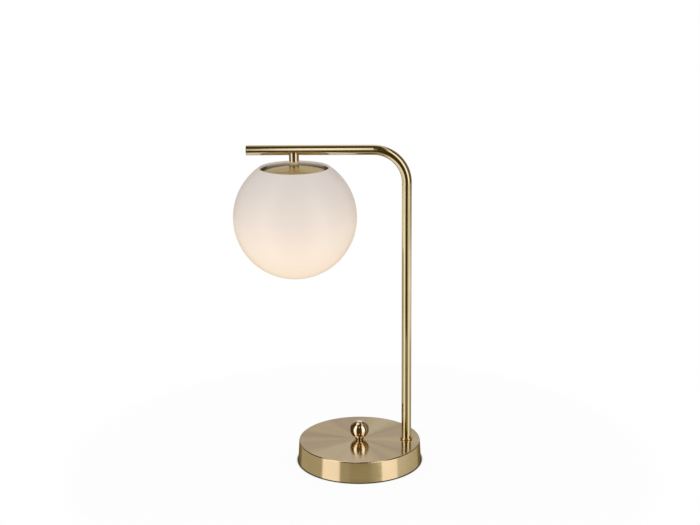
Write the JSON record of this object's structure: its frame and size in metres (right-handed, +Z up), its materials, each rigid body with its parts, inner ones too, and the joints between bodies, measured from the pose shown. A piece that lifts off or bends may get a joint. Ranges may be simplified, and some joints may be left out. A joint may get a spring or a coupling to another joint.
{
  "type": "table lamp",
  "caption": "Brass table lamp: round weighted base with a ball dimmer knob, bent tube arm, and an opal glass globe hung from the arm on a short neck.",
  "frame": {"origin": "middle of the base on the table", "axes": "+Z up, the upright tube on the +X side, the globe on the -X side, the cord inlet at +Y"},
  "size_m": [0.2286, 0.1566, 0.4025],
  "materials": {
    "satin_brass": "brushed satin brass, clear lacquered",
    "polished_brass": "polished brass",
    "opal_glass": "blown opal glass, satin outside",
    "black_foam": "dense black foam rubber",
    "zinc_steel": "zinc plated steel",
    "black_steel": "blackened steel",
    "spring_steel": "bright spring steel",
    "cast_iron": "sand cast, black painted",
    "black_plastic": "moulded, fine matt grain",
    "white_plastic": "moulded, satin",
    "lead_sheath": "soft sheath",
    "contact_brass": "stamped brass",
    "nickel_plate": "nickel plated, rolled thread",
    "opal_envelope": "opal moulded envelope",
    "board_aluminium": "white lacquered light board"
  },
  "bodies": {
    "base": {"base_shell": "satin_brass", "stem_tube": "satin_brass", "arm_end_plug": "satin_brass", "foot_collar": "satin_brass", "neck_tube": "satin_brass", "dome_cap": "satin_brass", "base_pad": "black_foam", "base_plate": "zinc_steel", "plate_screws": "zinc_steel", "stem_nipple": "zinc_steel", "stem_washer": "zinc_steel", "stem_nut": "zinc_steel", "dimmer_bushing": "zinc_steel", "dimmer_bracket": "zinc_steel", "dimmer_nut": "zinc_steel", "bracket_screws": "zinc_steel", "terminal_fixing": "zinc_steel", "terminal_screws": "zinc_steel", "neck_nipple": "zinc_steel", "dome_nut": "zinc_steel", "plate_nut": "zinc_steel", "spring_plate": "zinc_steel", "spring_rivets": "zinc_steel", "globe_spring_1": "spring_steel", "globe_spring_2": "spring_steel", "globe_spring_3": "spring_steel", "base_weight": "cast_iron", "cord_bush": "black_plastic", "dimmer_body": "black_plastic", "holder_cap": "black_plastic", "holder_body": "black_plastic", "terminal_block": "white_plastic", "lamp_lead": "lead_sheath", "switch_wires": "lead_sheath", "screw_shell": "contact_brass", "centre_contact": "contact_brass"},
    "knob": {"ball_knob": "polished_brass", "dimmer_spindle": "zinc_steel", "knob_grub_screw": "black_steel"},
    "globe": {"globe_glass": "opal_glass"},
    "bulb": {"bulb_envelope": "opal_envelope", "bulb_collar": "white_plastic", "bulb_cap": "nickel_plate", "bulb_insulator": "black_plastic", "bulb_contact": "contact_brass", "bulb_light_board": "board_aluminium"}
  },
  "joints": [
    {"name": "knob_turn", "type": "hinge", "parent": "base", "child": "knob", "pos_m": [0, 0, 0.0394], "axis": [0, 0, -1], "range_deg": [0, 300]},
    {"name": "globe_drop", "type": "slide", "parent": "base", "child": "globe", "axis": [0, 0, -1], "range_m": [0, 0.125], "deforming": ["globe_spring_1", "globe_spring_2", "globe_spring_3"]},
    {"name": "bulb_unscrew", "type": "hinge", "parent": "base", "child": "bulb", "pos_m": [-0.0761, 0, 0.31], "axis": [0, 0, -1], "range_deg": [0, 720]}
  ]
}
